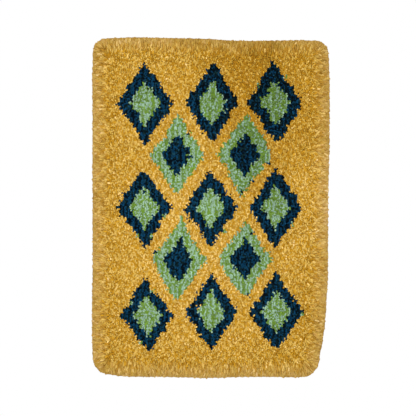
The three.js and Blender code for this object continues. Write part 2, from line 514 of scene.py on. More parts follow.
def plain_mesh(source):
    """The mesh that a piece's modifiers make of it. The piece and its own mesh go."""
    depsgraph = bpy.context.evaluated_depsgraph_get()
    mesh = bpy.data.meshes.new_from_object(
        source.evaluated_get(depsgraph), preserve_all_data_layers=True, depsgraph=depsgraph
    )
    before = source.data
    bpy.data.objects.remove(source)
    bpy.data.meshes.remove(before)
    if not mesh.polygons:
        raise RuntimeError(f"{mesh.name} came out with no faces")
    return mesh


def grown(name, tree, points, inputs, columns):
    """Runs a tree over a mesh of points and returns the result as a plain piece, with its
    yarn in its only slot and without the points' columns."""
    source = placed(name + "_points", points)
    modifier = source.modifiers.new(tree.name, "NODES")
    modifier.node_group = tree
    for item in tree.interface.items_tree:
        if item.in_out == "INPUT" and item.name in inputs:
            modifier[item.identifier] = inputs[item.name]
    mesh = plain_mesh(source)
    for label in columns:
        if label in mesh.attributes:
            mesh.attributes.remove(mesh.attributes[label])
    mesh.materials.clear()
    mesh.materials.append(inputs["Yarn"])
    return placed(name, mesh)


def settled(piece, slot):
    """The hanging has no moving parts, so every piece rides on its one body."""
    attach(piece, "root")
    return piece


class Outline:
    """The ground cloth's edge as the solid has it, in even steps with the way out at each."""

    STEP = 1 * MM
    SMOOTHED = 6  # steps on each side
    RIM = 5 * MM  # how far the pile stands out past the cloth's edge
    FLAT = 0.01 * MM  # how close to the wall the mat's back lies
    FEWEST_CORNERS = 100

    def __init__(self, node):
        shape = bmesh.new()
        shape.from_mesh(node.data)
        bmesh.ops.remove_doubles(shape, verts=shape.verts, dist=TOUCHING)
        back = {f for f in shape.faces if all(abs(v.co.y) < self.FLAT for v in f.verts)}
        rim = [e for e in shape.edges if sum(f in back for f in e.link_faces) == 1]
        corners = self.walked(rim)
        shape.free()
        if len(corners) < self.FEWEST_CORNERS:
            raise RuntimeError("the mat's back has no outline to follow")
        self.points = self.even(np.array([(v[0], v[2]) for v in corners]))
        ahead = np.roll(self.points, -self.SMOOTHED, 0) - np.roll(self.points, self.SMOOTHED, 0)
        out = np.stack([ahead[:, 1], -ahead[:, 0]], 1)
        middle = self.points.mean(0)
        if ((self.points - middle) * out).sum() < 0:
            out = -out
        self.out = out / np.linalg.norm(out, axis=1)[:, None]
        self.tree = KDTree(len(self.points))
        for index, (x, z) in enumerate(self.points):
            self.tree.insert((x, 0, z), index)
        self.tree.balance()

    @staticmethod
    def walked(rim):
        """The rim's vertices in order, as plain triples."""
        ways = {}
        for edge in rim:
            a, b = edge.verts
            ways.setdefault(a, []).append(b)
            ways.setdefault(b, []).append(a)
        start = min(ways, key=lambda v: (round(v.co.x, 6), v.co.z))
        corners = [start]
        before, here = None, start
        while True:
            ahead = next(v for v in ways[here] if v is not before)
            if ahead is start:
                return [tuple(v.co) for v in corners]
            corners.append(ahead)
            before, here = here, ahead

    @classmethod
    def even(cls, points):
        """The closed line through these points in even steps."""
        closed = np.vstack([points, points[:1]])
        lengths = np.r_[0, np.linalg.norm(np.diff(closed, axis=0), axis=1).cumsum()]
        at = np.linspace(0, lengths[-1], round(lengths[-1] / cls.STEP), endpoint=False)
        return np.stack([np.interp(at, lengths, closed[:, k]) for k in (0, 1)], 1)

    def inset(self, points):
        """How far inside the edge each point is, and the way out from it."""
        found = [self.tree.find((x, 0, z))[1] for x, z in points]
        out = self.out[found]
        return ((self.points[found] - points) * out).sum(1), out

    def row(self, depth, pitch):
        """Places on a line that runs inside the edge, the way along it and how far along it
        they are. They are even along the rim, so they stand closer round a corner."""
        line = self.points - depth * self.out
        rim = self.points + self.RIM * self.out
        lengths = np.r_[0, np.linalg.norm(np.roll(rim, -1, 0) - rim, axis=1).cumsum()]
        count = round(lengths[-1] / pitch)
        at = np.arange(count) * lengths[-1] / count
        picked = np.interp(at, lengths, np.arange(len(lengths))).astype(int)
        along = np.roll(line, -2, 0) - np.roll(line, 2, 0)
        along /= np.linalg.norm(along, axis=1)[:, None]
        return line[picked], along[picked], picked * self.STEP


def diamonds(sizes, rng):
    """Each diamond's middle, half sizes and tilt, in a half-drop layout of 3, 2, 3, 2 and 3."""
    low, high = CAD_BOX
    middle = Vector(((low[0] + high[0]) / 2, 0, (low[2] + high[2]) / 2))
    for row in range(-2, 3):
        count = 2 if row % 2 else 3
        for place in range(count):
            drift = rng.normal(0, sizes.wander / 2, 2)
            scale = rng.normal(1, sizes.uneven, 2)
            yield {
                "x": middle.x + (place - (count - 1) / 2) * sizes.across + drift[0],
                "z": middle.z - row * sizes.down + drift[1],
                "half_width": sizes.half_width * scale[0],
                "half_height": sizes.half_height * scale[1],
                "tilt": rng.normal(0, sizes.uneven),
                "beat": rng.uniform(0, 2 * math.pi, 2),
                "mixes": (GREEN, NAVY) if count == 2 else (NAVY, GREEN),
            }


# How often a diamond's edge wobbles on its way round
SLOW_WOBBLES = 5
QUICK_WOBBLES = 9


def mixes_at(points, sizes, rng):
    """The yarn mix at each point, and how near it is to a colour's edge, from 0 on the edge."""
    mix = np.full(len(points), MUSTARD)
    near = np.ones(len(points))
    for one in diamonds(sizes, rng):
        x, z = points[:, 0] - one["x"], points[:, 1] - one["z"]
        x = x + one["tilt"] * z
        measure = abs(x) / one["half_width"] + abs(z) / one["half_height"]
        angle = np.arctan2(z, x)
        slow = np.sin(SLOW_WOBBLES * angle + one["beat"][0])
        quick = np.sin(QUICK_WOBBLES * angle + one["beat"][1])
        measure += sizes.wobble * (slow + quick)
        outer, inner = one["mixes"]
        mix[measure < 1] = outer
        mix[measure < sizes.core] = inner
        near = np.minimum(near, np.minimum(abs(measure - 1), abs(measure - sizes.core)))
    return mix, near


class StitchPlan:
    """Where every stitch goes and of what yarn it is: rows that follow the edge, and upright
    rows within them. The pile leans less loosely where two colours meet."""

    SWAY = 0.5 * MM  # of an upright row to either side
    SWAY_LENGTH = 27 * MM
    ASTRAY = 0.25 * MM  # how far a stitch lies from its row's line
    CALM_REACH = 0.25  # of a diamond's size, on either side of a colour's edge
    CALM_LEAN = 0.35  # of the lean elsewhere
    STRAY_REACH = 0.12  # of a diamond's size too

    def __init__(self, context):
        sizes = context.scene.tufting_sizes
        rng = np.random.default_rng(sizes.seed)
        self.outline = Outline(MAT)
        rows = []

        def add_row(place, along, run, row):
            beat = np.full(len(place), rng.uniform(0, 2 * math.pi))
            rows.append((place, along, run, beat, np.full(len(place), row)))

        for row in range(sizes.edge_rows):
            depth = sizes.edge_row + row * sizes.edge_row_pitch
            add_row(*self.outline.row(depth, sizes.edge_pitch), row)
        inner = sizes.edge_row + (sizes.edge_rows - 0.5) * sizes.edge_row_pitch
        low, high = CAD_BOX
        for x in np.arange(low[0], high[0], sizes.row_pitch):
            z = np.arange(low[2] + rng.uniform(0, sizes.stitch_pitch), high[2], sizes.stitch_pitch)
            sway = self.SWAY * np.sin(z / self.SWAY_LENGTH + rng.uniform(0, 2 * math.pi))
            place = np.stack([x + sway, z], 1)
            place = place[self.outline.inset(place)[0] > inner]
            along = np.tile((0.0, 1.0), (len(place), 1))
            add_row(place, along, place[:, 1], sizes.edge_rows)
        columns = [np.concatenate(column) for column in zip(*rows)]
        self.place, self.along, self.run, self.beat, self.row = columns
        self.edge = self.row < sizes.edge_rows
        self.place += rng.normal(0, self.ASTRAY, self.place.shape)
        self.mix, near = mixes_at(self.place, context.scene.diamond_sizes, rng)
        self.loose = np.interp(near, (0, self.CALM_REACH), (self.CALM_LEAN, 1))
        stray = (near < self.STRAY_REACH) & (rng.random(len(near)) < sizes.strays)
        self.mix[stray] = rng.integers(0, len(SLOTS), stray.sum())


def stood_off(place, distance):
    """These places across and up the wall, at this distance from it."""
    return np.stack([place[:, 0], np.zeros(len(place)) - distance, place[:, 1]], 1)


def roots_at(cloth, place):
    """These places just under the cloth's face."""
    under = 0.2 * MM
    return stood_off(place, cloth.off_wall + cloth.thickness / 2 - under)


FAN_CURVE = 1.6  # the higher, the later the fan opens
FAN_UNEVEN = 0.1  # radians, reached halfway into the fan


def fan(sizes, inset, out, rng=None):
    """The way the pile grows, by how far in it is: straight off the cloth, or lying over
    towards the edge. Gives how far it lies over too."""
    share = np.clip(1 - inset / sizes.fan_reach, 0, 1)
    over = sizes.fan_angle * share**FAN_CURVE
    if rng:
        over += rng.normal(0, FAN_UNEVEN, len(inset)) * np.minimum(1, 2 * share)
    sine = np.sin(over)
    return np.stack([sine * out[:, 0], -np.cos(over), sine * out[:, 1]], 1), over


def met(root, way):
    """Where lines that leave the roots meet the mat's surface, and the way out there."""
    shape = bmesh.new()
    shape.from_mesh(MAT.data)
    surface = BVHTree.FromBMesh(shape)
    shape.free()
    hits = [surface.ray_cast(r, w) for r, w in zip(root, way)]
    if any(hit[0] is None for hit in hits):
        raise RuntimeError("some strands miss the mat's surface")
    return np.array([hit[0] for hit in hits]), np.array([hit[1] for hit in hits])


def nudged_apart(points, spacing, rounds=8, crowd=8, share=0.25):
    """The points after those closer than the spacing have pushed each other apart, in each
    round by a share of what they lack. A cell of the grid is taken to hold a crowd at most."""
    points = points.copy()
    itself = np.arange(len(points))
    for _ in range(rounds):
        cell = ((points - points.min(0)) // spacing).astype(int) + 1
        high = cell[:, 1].max() + 2
        key = cell[:, 0] * high + cell[:, 1]
        order = np.argsort(key)
        first = np.searchsorted(key[order], np.arange(key.max() + 2 * high))
        push = np.zeros_like(points)
        for shift in (across * high + upward for across in (-1, 0, 1) for upward in (-1, 0, 1)):
            for place in range(crowd):
                at = first[key + shift] + place
                mate = order[np.minimum(at, len(points) - 1)]
                gap = points - points[mate]
                far = np.hypot(gap[:, 0], gap[:, 1])
                real = (at < first[key + shift + 1]) & (mate != itself) & (far < spacing)
                lack = np.where(real, (spacing - far) / np.maximum(far, TOUCHING), 0)
                push += share * lack[:, None] * gap
        points += push
    return points


def painted_patch_share(patch, place):
    """How much of a patch of painted light or shade each place has, 1 in the patch's middle."""
    away = np.hypot(place[:, 0] - patch["x"], PATCH_WIDTH * (place[:, 1] - patch["z"]))
    return np.exp(-((away / patch["reach"]) ** 2))


def smooth_noise(place, length, layer):
    """A number at each place that changes smoothly over about this length."""
    return np.array([noise.noise(Vector((x, z, layer)) / length) for x, z in place])


def mottle_and_painted_light(place, inset):
    """How many cells lighter or darker the pile is painted: random mottle, broad patches of
    painted light and shade, and painted shade at the rim.
    """
    patches = smooth_noise(place, SMALL_PATCH, 0)
    locks = smooth_noise(place, LOCK, 9)
    lighter = sum(patch["lighter"] * painted_patch_share(patch, place) for patch in PAINTED_PATCHES)
    # Painted shade at the rim
    rim = np.clip((RIM_FROM - inset) / RIM_WIDTH, 0, 1)
    return patches + LOCK_LIGHTER * locks + lighter - RIM_PAINTED_SHADE * rim


def rim_side_light_step(inset, out, root, end):
    """The shade of mustard by how far inside the cloth's edge the pile ends: the rim is painted
    paler and duller, as a painted side light.
    """
    ends = inset - np.einsum("ij,ij->i", (end - root)[:, (0, 2)], out)
    return np.clip((SIDE_LIGHT_FROM - ends) / SIDE_LIGHT_WIDTH, 0, 1) * (SHADES - 1)


def web(points, rim):
    """The triangles of a web through all of these points, within the rim's lines."""
    corners = [Vector(point) for point in points]
    flat, _, faces, *_ = delaunay_2d_cdt(corners, rim, [], 1, WEB_TOLERANCE)
    if len(flat) != len(corners):
        raise RuntimeError("a web lost or gained points")
    return np.array(faces)


PACKED_DEPTH = 2.2 * MM  # under the mat's surface
PACKED_RISE = 1.6 * MM  # less, where the pile lies over
PACKED_THICKNESS = 1 * MM


def packed_pile(context):
    """The pile a little under its cut ends, where it is packed too close to see into: a web
    through the stitches, for each mix its points, its faces and the faces' cells."""
    sizes = context.scene.tufting_sizes
    rng = np.random.default_rng(sizes.seed + 3)
    plan = StitchPlan(context)
    inset, out = plan.outline.inset(plan.place)
    root = roots_at(context.scene.cloth_sizes, plan.place)
    way, over = fan(sizes, inset, out)
    cut, normal = met(root, way)
    depth = PACKED_DEPTH - PACKED_RISE * np.sin(over)
    top = cut - depth[:, None] * normal
    # Painted side light: the rim's packed mustard pile is painted paler and duller, as the strands
    # are
    dull = rim_side_light_step(inset, out, root, cut)
    first = np.flatnonzero(plan.row == 0)
    faces = web(plan.place, list(zip(first, np.roll(first, -1))))
    mixes = np.median(plan.mix[faces], axis=1)
    middles = plan.place[faces].mean(1)
    light = rng.normal(PACKED_CELL, PACKED_CELL_SPREAD, len(faces))
    # Random mottle, with painted light and shade in patches and at the rim, as on the strands
    light += mottle_and_painted_light(middles, inset[faces].mean(1))
    light = light.round().clip(0, CELLS_ACROSS - 1)
    shade = np.where(mixes == MUSTARD, dull[faces].mean(1).round(), 0)
    rows = rng.integers(0, 2, len(faces)) * SHADES + shade
    for mix in (MUSTARD, NAVY, GREEN):
        chosen = mixes == mix
        used, renumbered = np.unique(faces[chosen], return_inverse=True)
        cells = np.stack([light[chosen], rows[chosen]], 1)
        yield mix, top[used], renumbered.reshape(-1, 3), cells


# How a strand is rooted, leans and ends
ROOT_ASTRAY = 0.35 * MM
ROOT_INSIDE = 0.4 * MM  # at least, from the cloth's edge
SIDEWAYS = 0.6  # the leans to the sides, as a share of those along a row
TWIST_SHARPNESS = 3  # the higher, the sooner a pair has changed sides
SUNK = 0.4 * MM  # at most, of a cut end under the mat's surface, where the pile is upright
SUNK_LEAST = 0.1  # of that, where the pile lies over
SUNK_OVER = 0.3 * MM  # more, where it lies over

# Where a strand bends
KNEE = 0.30  # its height, as a share of the strand's length, where the pile lies over
KNEE_UPRIGHT = 0.45  # more, where the pile is upright
KNEE_RANGE = (0.85, 1.1)  # of that height
KNEE_ALONG = 0.2  # its way towards the cut end, as a share, where the pile lies over
KNEE_ASTRAY = 0.5 * MM

# How thick a strand is, as a share of the yarn's radius
GIRTH_SPREAD = 0.08
GIRTH_RANGE = (0.8, 1.25)
GIRTH_OVER = 0.2  # more, where the pile lies over
FLUFF = 0.3  # more, under the surface
FLUFF_UPRIGHT = 0.5  # and still more, where the pile is upright

# How the cells of the strands vary
LIGHT_SHAPE = 3.0  # of the gamma spread across the map, whose long tail is light
SIDE_LIGHT_SPREAD = 0.5  # of the mustard's shades
SHADE_SPREAD = 0.8  # of the other mixes' shades
PAINTED_SHADE_SWAP = 0.4  # of the first yarns, swapped for the darker second ones in the middle of the painted shade at the top


def strands(context):
    """Every strand of the pile: where it is rooted, bends and ends, and how it is coloured."""
    sizes = context.scene.tufting_sizes
    rng = np.random.default_rng(sizes.seed + 1)
    plan = StitchPlan(context)
    count = len(plan.place)

    # A stitch leaves two cut legs, one behind the other along its row, of two yarns each.
    # Which yarn lies to the left changes along a row as the pair twists.
    leg = np.array([-1, -1, 1, 1]) * sizes.stitch_pitch / 4
    yarn = np.array([0, 1, 0, 1])
    across = np.stack([plan.along[:, 1], -plan.along[:, 0]], 1)
    run = plan.run[:, None] + leg
    length = np.array([TWIST[mix] for mix in plan.mix])[:, None]
    twist = np.tanh(TWIST_SHARPNESS * np.sin(run / length + plan.beat[:, None]))
    side = np.where(yarn == 0, 1, -1) * twist * sizes.row_pitch / 4
    place = (
        plan.place[:, None]
        + plan.along[:, None] * leg[None, :, None]
        + across[:, None] * side[:, :, None]
    ).reshape(-1, 2)
    place += rng.normal(0, ROOT_ASTRAY, place.shape)
    inset, out = plan.outline.inset(place)
    keep = inset > ROOT_INSIDE
    place, inset, out = place[keep], inset[keep], out[keep]
    yarn = np.tile(yarn, count)[keep]
    stitch = np.repeat(np.arange(count), len(leg))[keep]
    mix, edge = plan.mix[stitch], plan.edge[stitch]

    total = len(place)
    root = roots_at(context.scene.cloth_sizes, place)
    way, over = fan(sizes, inset, out, rng)
    fanned = place + sizes.pile_length * np.sin(over)[:, None] * out
    lean = plan.loose[stitch][:, None] * sizes.lean
    forth = lean * rng.normal(0, 1, (total, 1)) * plan.along[stitch]
    sideways = lean * rng.normal(0, SIDEWAYS, (total, 1)) * across[stitch]
    aside = nudged_apart(fanned + forth + sideways, sizes.spacing) - fanned
    way[:, (0, 2)] += aside / sizes.pile_length
    way /= np.linalg.norm(way, axis=1)[:, None]
    cut, normal = met(root, way)
    reach = np.linalg.norm(cut - root, axis=1)
    upright = np.cos(over)
    sunk = rng.uniform(0, SUNK, total) * upright.clip(SUNK_LEAST, 1)
    tip = cut - way * (SUNK_OVER * np.sin(over) + sunk)[:, None]
    rise = reach * (KNEE + KNEE_UPRIGHT * upright) * rng.uniform(*KNEE_RANGE, total)
    along = KNEE_ALONG * reach * np.sin(over)
    knee = root + rise[:, None] * OFF_WALL + way * along[:, None]
    knee += rng.normal(0, KNEE_ASTRAY, knee.shape) * (1, 0, 1)

    spread = np.array([STRAND_CELL_SPREAD[one] for one in mix])
    tail = rng.gamma(LIGHT_SHAPE, 1.0, total) - LIGHT_SHAPE
    # Random tone, with painted light and shade in patches and at the rim
    light = STRAND_CELL + tail * spread + mottle_and_painted_light(place, inset)
    # Painted shade: more of the darker yarn in the middle of the dark top patch
    painted_shade_swap = PAINTED_SHADE_SWAP * painted_patch_share(PAINTED_SHADE_TOP, place)
    yarn[rng.random(total) < painted_shade_swap] = 1
    # Painted side light on the rim's mustard strands, with a random spread
    side_lit = rim_side_light_step(inset, out, root, tip) + rng.normal(0, SIDE_LIGHT_SPREAD, total)
    shade = np.where(mix == MUSTARD, side_lit, rng.gamma(1.0, SHADE_SPREAD, total))
    girth = rng.normal(1, GIRTH_SPREAD, total).clip(*GIRTH_RANGE)
    return {
        "root": root,
        "knee": knee,
        "tip": tip,
        "girth": girth * (1 + GIRTH_OVER * np.sin(over)),
        "surface": normal,
        "fluff": FLUFF + FLUFF_UPRIGHT * upright.clip(0, 1) ** 2,
        "cell_across": light.round().clip(0, CELLS_ACROSS - 1),
        "cell_up": yarn * SHADES + shade.round().clip(0, SHADES - 1),
        "mix": mix,
        "edge": edge,
    }


STRAND_COLUMNS = ("root", "knee", "tip", "surface", "girth", "fluff", "cell_across", "cell_up")


def pile(context, name, plan, chosen, mix):
    """One piece of pile from the strands chosen."""
    tree = bpy.data.node_groups.get("Cut pile") or pile_tree()
    columns = {column: plan[column][chosen] for column in STRAND_COLUMNS}
    sizes = context.scene.tufting_sizes
    inputs = {
        "Yarn Radius": sizes.yarn_radius,
        "Tip Share": 0.88,
        "Waver": 0.35 * MM,
        "Sides": 5,
        "Points": 3,
        "Seed": sizes.seed,
        "Yarn": yarn_material(context, mix),
    }
    roots = points_mesh(name, columns["root"], columns)
    return settled(grown(name, tree, roots, inputs, STRAND_COLUMNS), SLOTS[mix])


def yarn_material(context, mix):
    """Wool yarn of one mix, made once."""
    colours = context.scene.yarn_colours
    name, first, second, other = {
        MUSTARD: ("mustard_wool", colours.mustard, colours.ochre, colours.side_lit),
        NAVY: ("navy_wool", colours.navy, colours.pine, colours.petrol),
        GREEN: ("green_wool", colours.aqua, colours.leaf, colours.sage),
    }[mix]
    material = bpy.data.materials.get(name)
    if material:
        return material
    material, tree, shader = new_material(name)
    spot = split(tree, put(tree, "ShaderNodeUVMap", uv_map=YARN_MAP))
    across = maths(tree, "MULTIPLY", spot["X"], CELLS_ACROSS)
    upward = maths(tree, "MULTIPLY", spot["Y"], CELLS_UP)
    column = maths(tree, "FLOOR", across)
    row = maths(tree, "FLOOR", upward)
    around = maths(tree, "SUBTRACT", across, column)
    along = maths(tree, "SUBTRACT", upward, row)
    second_yarn = maths(tree, "GREATER_THAN", row, SHADES - 0.5)
    shade = maths(tree, "DIVIDE", maths(tree, "MODULO", row, SHADES), SHADES - 1)
    colour = blended(tree, second_yarn, (*first, 1), (*second, 1), "RGBA")
    # For mustard the other colour is the rim's painted side light; for navy and green it is a
    # second shade that varies at random
    most_shade = 0.55
    shade = maths(tree, "MULTIPLY", shade, most_shade)
    colour = blended(tree, shade, colour, (*other, 1), "RGBA")

    # Two plies twist round each other, and fine fibres run along them.
    plies, twists = 2, 3.0
    lay = maths(tree, "MULTIPLY_ADD", along, twists, around)
    ply = maths(tree, "SINE", maths(tree, "MULTIPLY", lay, plies * 2 * math.pi))
    ply = ranged(tree, ply, spread=0.5, base=0.5)
    fibres_around, fibres_along = 9.0, 5.0
    lie = {
        "X": maths(tree, "MULTIPLY", lay, fibres_around),
        "Y": maths(tree, "MULTIPLY", along, fibres_along),
        "Z": maths(tree, "MULTIPLY_ADD", row, CELLS_ACROSS, column),
    }
    lie = put(tree, "ShaderNodeCombineXYZ", lie)
    fibres = put(tree, "ShaderNodeTexNoise", {"Vector": lie, "Scale": 1.0, "Detail": 3.0})

    # From the darkest cell to the lightest, from the furrow to the crown of a ply, with painted
    # shade in the furrows, from fibre to fibre, and from the root to the tip, with painted shade
    # towards the root
    value = ranged(tree, column, spread=0.9 / (CELLS_ACROSS - 1), base=0.55)
    value = shaded(tree, value, by=ply, spread=0.14, base=0.86)
    value = shaded(tree, value, by=fibres, spread=0.5, base=0.75)
    value = shaded(tree, value, by=along, spread=0.15, base=0.88)

    # Painted sheen: where the wool is lighter it is also paler, and where it is darker it is
    # deeper.
    finish = FINISH[mix]
    paled = [maths(tree, "POWER", value, power) for power in finish["painted_sheen"]]
    colour = tinted(tree, colour, paled)
    height = blended(tree, 0.5, ply, fibres)
    bump = put(tree, "ShaderNodeBump", {"Strength": 0.5, "Distance": 0.25 * MM, "Height": height})
    dress(tree, shader, colour, ranged(tree, fibres, spread=-0.2, base=0.95), bump)
    shader.inputs["Specular IOR Level"].default_value = finish["specular"]
    shader.inputs["Sheen Weight"].default_value = finish["sheen"]
    shader.inputs["Sheen Roughness"].default_value = 0.5
    shader.inputs["Sheen Tint"].default_value = (*first, 1)
    return material


def new_material(name):
    """A new dull material, its tree and its shader."""
    material = bpy.data.materials.new(name)
    material.use_nodes = True
    tree = material.node_tree
    shader = tree.nodes["Principled BSDF"]
    shader.inputs["Specular IOR Level"].default_value = 0.25
    return material, tree, shader


def dress(tree, shader, colour, roughness, bump):
    """Links what the trees above work out to the shader."""
    tree.links.new(colour, shader.inputs["Base Color"])
    tree.links.new(roughness, shader.inputs["Roughness"])
    tree.links.new(bump, shader.inputs["Normal"])


def cotton_material(context):
    """Plain-woven cotton: each thread goes over one and under the next."""
    colours = context.scene.yarn_colours
    pitch = context.scene.cloth_sizes.thread_pitch
    material, tree, shader = new_material("cotton_cloth")
    place = put(tree, "ShaderNodeTexCoord", output="Object")
    spot = split(tree, place)
    across = maths(tree, "MULTIPLY", spot["X"], math.pi / pitch)
    upward = maths(tree, "MULTIPLY", spot["Z"], math.pi / pitch)
    warp = maths(tree, "ABSOLUTE", maths(tree, "SINE", across))
    weft = maths(tree, "ABSOLUTE", maths(tree, "SINE", upward))
    turns = [maths(tree, "COSINE", across), maths(tree, "COSINE", upward)]
    over = maths(tree, "GREATER_THAN", maths(tree, "MULTIPLY", *turns), 0.0)
    thread = blended(tree, over, warp, weft)
    crown = blended(tree, over, weft, warp)
    height = maths(tree, "MULTIPLY", maths(tree, "SQRT", thread), crown)
    slubs = put(tree, "ShaderNodeTexNoise", {"Vector": place, "Scale": 260.0, "Detail": 4.0})
    soil = put(tree, "ShaderNodeTexNoise", {"Vector": place, "Scale": 14.0, "Detail": 3.0})

    # From the gaps to the crowns of the threads, with painted shade in the gaps, from slub to slub
    # and from clean to soiled
    value = ranged(tree, height, spread=0.45, base=0.5)
    value = shaded(tree, value, by=slubs, spread=0.4, base=0.8)
    value = shaded(tree, value, by=soil, spread=0.25, base=0.88)
    colour = tinted(tree, (*colours.cotton, 1), [value] * 3)
    bump = put(tree, "ShaderNodeBump", {"Strength": 0.8, "Distance": 0.4 * MM, "Height": height})
    dress(tree, shader, colour, ranged(tree, slubs, spread=-0.15, base=0.95), bump)
    shader.inputs["Sheen Weight"].default_value = 0.15
    return material


# The cloth's mesh
CLOTH_STEPS = 4  # of the outline, from point to point along the rim
WEB_PITCH = 12 * MM
WEB_INSET = 8 * MM  # at least, of the web's own points from the outline
FOLD_ANGLES = (0.5, 1.05, 1.57, 2.1, 2.65)  # of the rings round the fold
HEM_SHARES = (0.0, 0.2, 0.45, 0.7, 0.97, 1.0)  # of the hem's width, at its rings

# The hem's gathers, which follow how much the rim bends over some points on either side
GATHER_POINTS = 6
GATHER_BEND = 2.0  # the higher, the less bend makes a full gather
GATHER_TURN = 2.1  # radians of a wave, from point to point
GATHER_WIDTH = 4 * MM  # from the fold to where a gather has its full height
GATHER_LIFT = 0.3 * MM
GATHER_DIP = 0.1 * MM


def cloth_mesh(context):
    """The cloth's middle surface: flat behind the pile, turned round its edge to a hem that
    gathers a little at the corners."""
    sizes = context.scene.cloth_sizes
    outline = Outline(MAT)
    points, out = outline.points[::CLOTH_STEPS], outline.out[::CLOTH_STEPS]
    turn = (sizes.off_wall - sizes.hem_off_wall) / 2
    inner = points - turn * out

    # Inside the fold, a web of triangles with a grid of points in it
    low, high = inner.min(0), inner.max(0)
    grid = [
        (x, z)
        for x in np.arange(low[0], high[0], WEB_PITCH)
        for z in np.arange(low[1], high[1], WEB_PITCH)
    ]
    depth, _ = outline.inset(np.array(grid))
    grid = [place for place, deep in zip(grid, depth) if deep > WEB_INSET]
    count = len(inner)
    flat = np.array([*inner, *grid])
    rim = [(k, (k + 1) % count) for k in range(count)]
    mesh_points = stood_off(flat, sizes.off_wall).tolist()
    mesh_faces = web(flat, rim).tolist()

    # Rings round the fold and along the hem, each from the outline
    bend = np.abs(np.roll(out, -GATHER_POINTS, 0) - np.roll(out, GATHER_POINTS, 0)).sum(1)
    wave = np.clip(bend * GATHER_BEND, 0, 1) * np.sin(np.arange(count) * GATHER_TURN)
    rings = [(-turn * (1 - math.sin(a)), turn * math.cos(a)) for a in FOLD_ANGLES]
    rings += [(-turn - sizes.hem * share, -turn) for share in HEM_SHARES]
    before = list(range(count))
    for out_by, side in rings:
        start = len(mesh_points)
        line = points + out_by * out
        lift = np.clip(-(out_by + turn) / GATHER_WIDTH, 0, 1) * wave * GATHER_LIFT
        off = sizes.hem_off_wall + turn + side + np.maximum(lift, -GATHER_DIP)
        mesh_points += stood_off(line, off).tolist()
        ring = list(range(start, start + count))
        for k, ahead in rim:
            mesh_faces.append([before[k], before[ahead], ring[ahead], ring[k]])
        before = ring
    mesh = bpy.data.meshes.new("cloth_middle")
    mesh.from_pydata(mesh_points, [], mesh_faces)
    return mesh


def thickened(name, mesh, thickness):
    """The mesh as a closed shell of this thickness, with smooth shading."""
    source = placed(name, mesh)
    modifier = source.modifiers.new("Thickness", "SOLIDIFY")
    modifier.thickness = thickness
    modifier.offset = 0.0
    done = plain_mesh(source)
    shape = bmesh.new()
    shape.from_mesh(done)
    bmesh.ops.recalc_face_normals(shape, faces=shape.faces)
    shape.to_mesh(done)
    shape.free()
    for face in done.polygons:
        face.use_smooth = True
    return placed(name, done)


def parted(mesh):
    """Parts the mesh where two of its patches meet in one corner alone, so that each patch
    can be closed by itself."""
    shape = bmesh.new()
    shape.from_mesh(mesh)
    for corner in list(shape.verts):
        if sum(edge.is_boundary for edge in corner.link_edges) > 2:
            bmesh.utils.vert_separate(corner, [])
    shape.to_mesh(mesh)
    shape.free()


def set_cells(mesh, cells):
    """Lays each triangle of the mesh inside its own cell of the yarn's map."""
    low, middle, high = 0.1, 0.5, 0.9
    corners = np.array([(low, low), (high, low), (middle, high)])
    places = (cells[:, None] + corners) / (CELLS_ACROSS, CELLS_UP)
    layer = mesh.uv_layers.new(name=YARN_MAP)
    layer.uv.foreach_set("vector", places.astype(np.float32).ravel())


EDGE_NAME = "edge_pile"
FIELD_NAMES = ("field_pile_upper", "field_pile_middle", "field_pile_lower")
DIAMOND_NAMES = {NAVY: "navy_pile", GREEN: "green_pile"}
PACKED_NAMES = ("mustard_packed_pile", "navy_packed_pile", "green_packed_pile")
STITCH_NAMES = ("mustard_stitch_backs", "navy_stitch_backs", "green_stitch_backs")


class TUFTING_OT_edge_pile(bpy.types.Operator):
    """The rows that follow the outline, whose pile fans out over the cloth's edge"""

    bl_idname = "tufting.edge_pile"
    bl_label = "Edge pile"

    def execute(self, context):
        plan = strands(context)
        pile(context, EDGE_NAME, plan, plan["edge"] & (plan["mix"] == MUSTARD), MUSTARD)
        return {"FINISHED"}


class TUFTING_OT_field_pile(bpy.types.Operator):
    """The mustard ground within the edge rows, in three pieces from top to bottom"""

    bl_idname = "tufting.field_pile"
    bl_label = "Field pile"

    def execute(self, context):
        plan = strands(context)
        field = ~plan["edge"] & (plan["mix"] == MUSTARD)
        heights = plan["root"][:, 2]
        upper, lower = np.quantile(heights[field], (2 / 3, 1 / 3))
        third = np.where(heights >= upper, 0, np.where(heights >= lower, 1, 2))
        for number, name in enumerate(FIELD_NAMES):
            pile(context, name, plan, field & (third == number), MUSTARD)
        return {"FINISHED"}


class TUFTING_OT_diamond_pile(bpy.types.Operator):
    """The diamonds and their cores, in the navy and the green yarn mix"""

    bl_idname = "tufting.diamond_pile"
    bl_label = "Diamond pile"

    def execute(self, context):
        plan = strands(context)
        for mix, name in DIAMOND_NAMES.items():
            pile(context, name, plan, plan["mix"] == mix, mix)
        return {"FINISHED"}


class TUFTING_OT_packed_pile(bpy.types.Operator):
    """The pile under its cut ends, which closes the gaps between the strands"""

    bl_idname = "tufting.packed_pile"
    bl_label = "Packed pile"

    def execute(self, context):
        for mix, points, faces, cells in packed_pile(context):
            name = PACKED_NAMES[mix]
            mesh = bpy.data.meshes.new(name)
            mesh.from_pydata(points.tolist(), [], faces.tolist())
            parted(mesh)
            set_cells(mesh, cells)
            packed = thickened(name, mesh, PACKED_THICKNESS)
            packed.data.materials.append(yarn_material(context, mix))
            settled(packed, SLOTS[mix])
        return {"FINISHED"}


# The backs of the stitches
BACK_LENGTH = 1.15  # of the stitch pitch
BACK_WIDTH = 3.4 * MM
BACK_THICKNESS = 1.5 * MM
BACK_OFF = 0.35  # of their thickness, from the cloth's back to their middle
BACK_UNDER_HEM = 2 * MM
BACK_TURN = 0.08  # radians, off the row's line
BACK_CELL = 7
BACK_CELL_SPREAD = 2.5


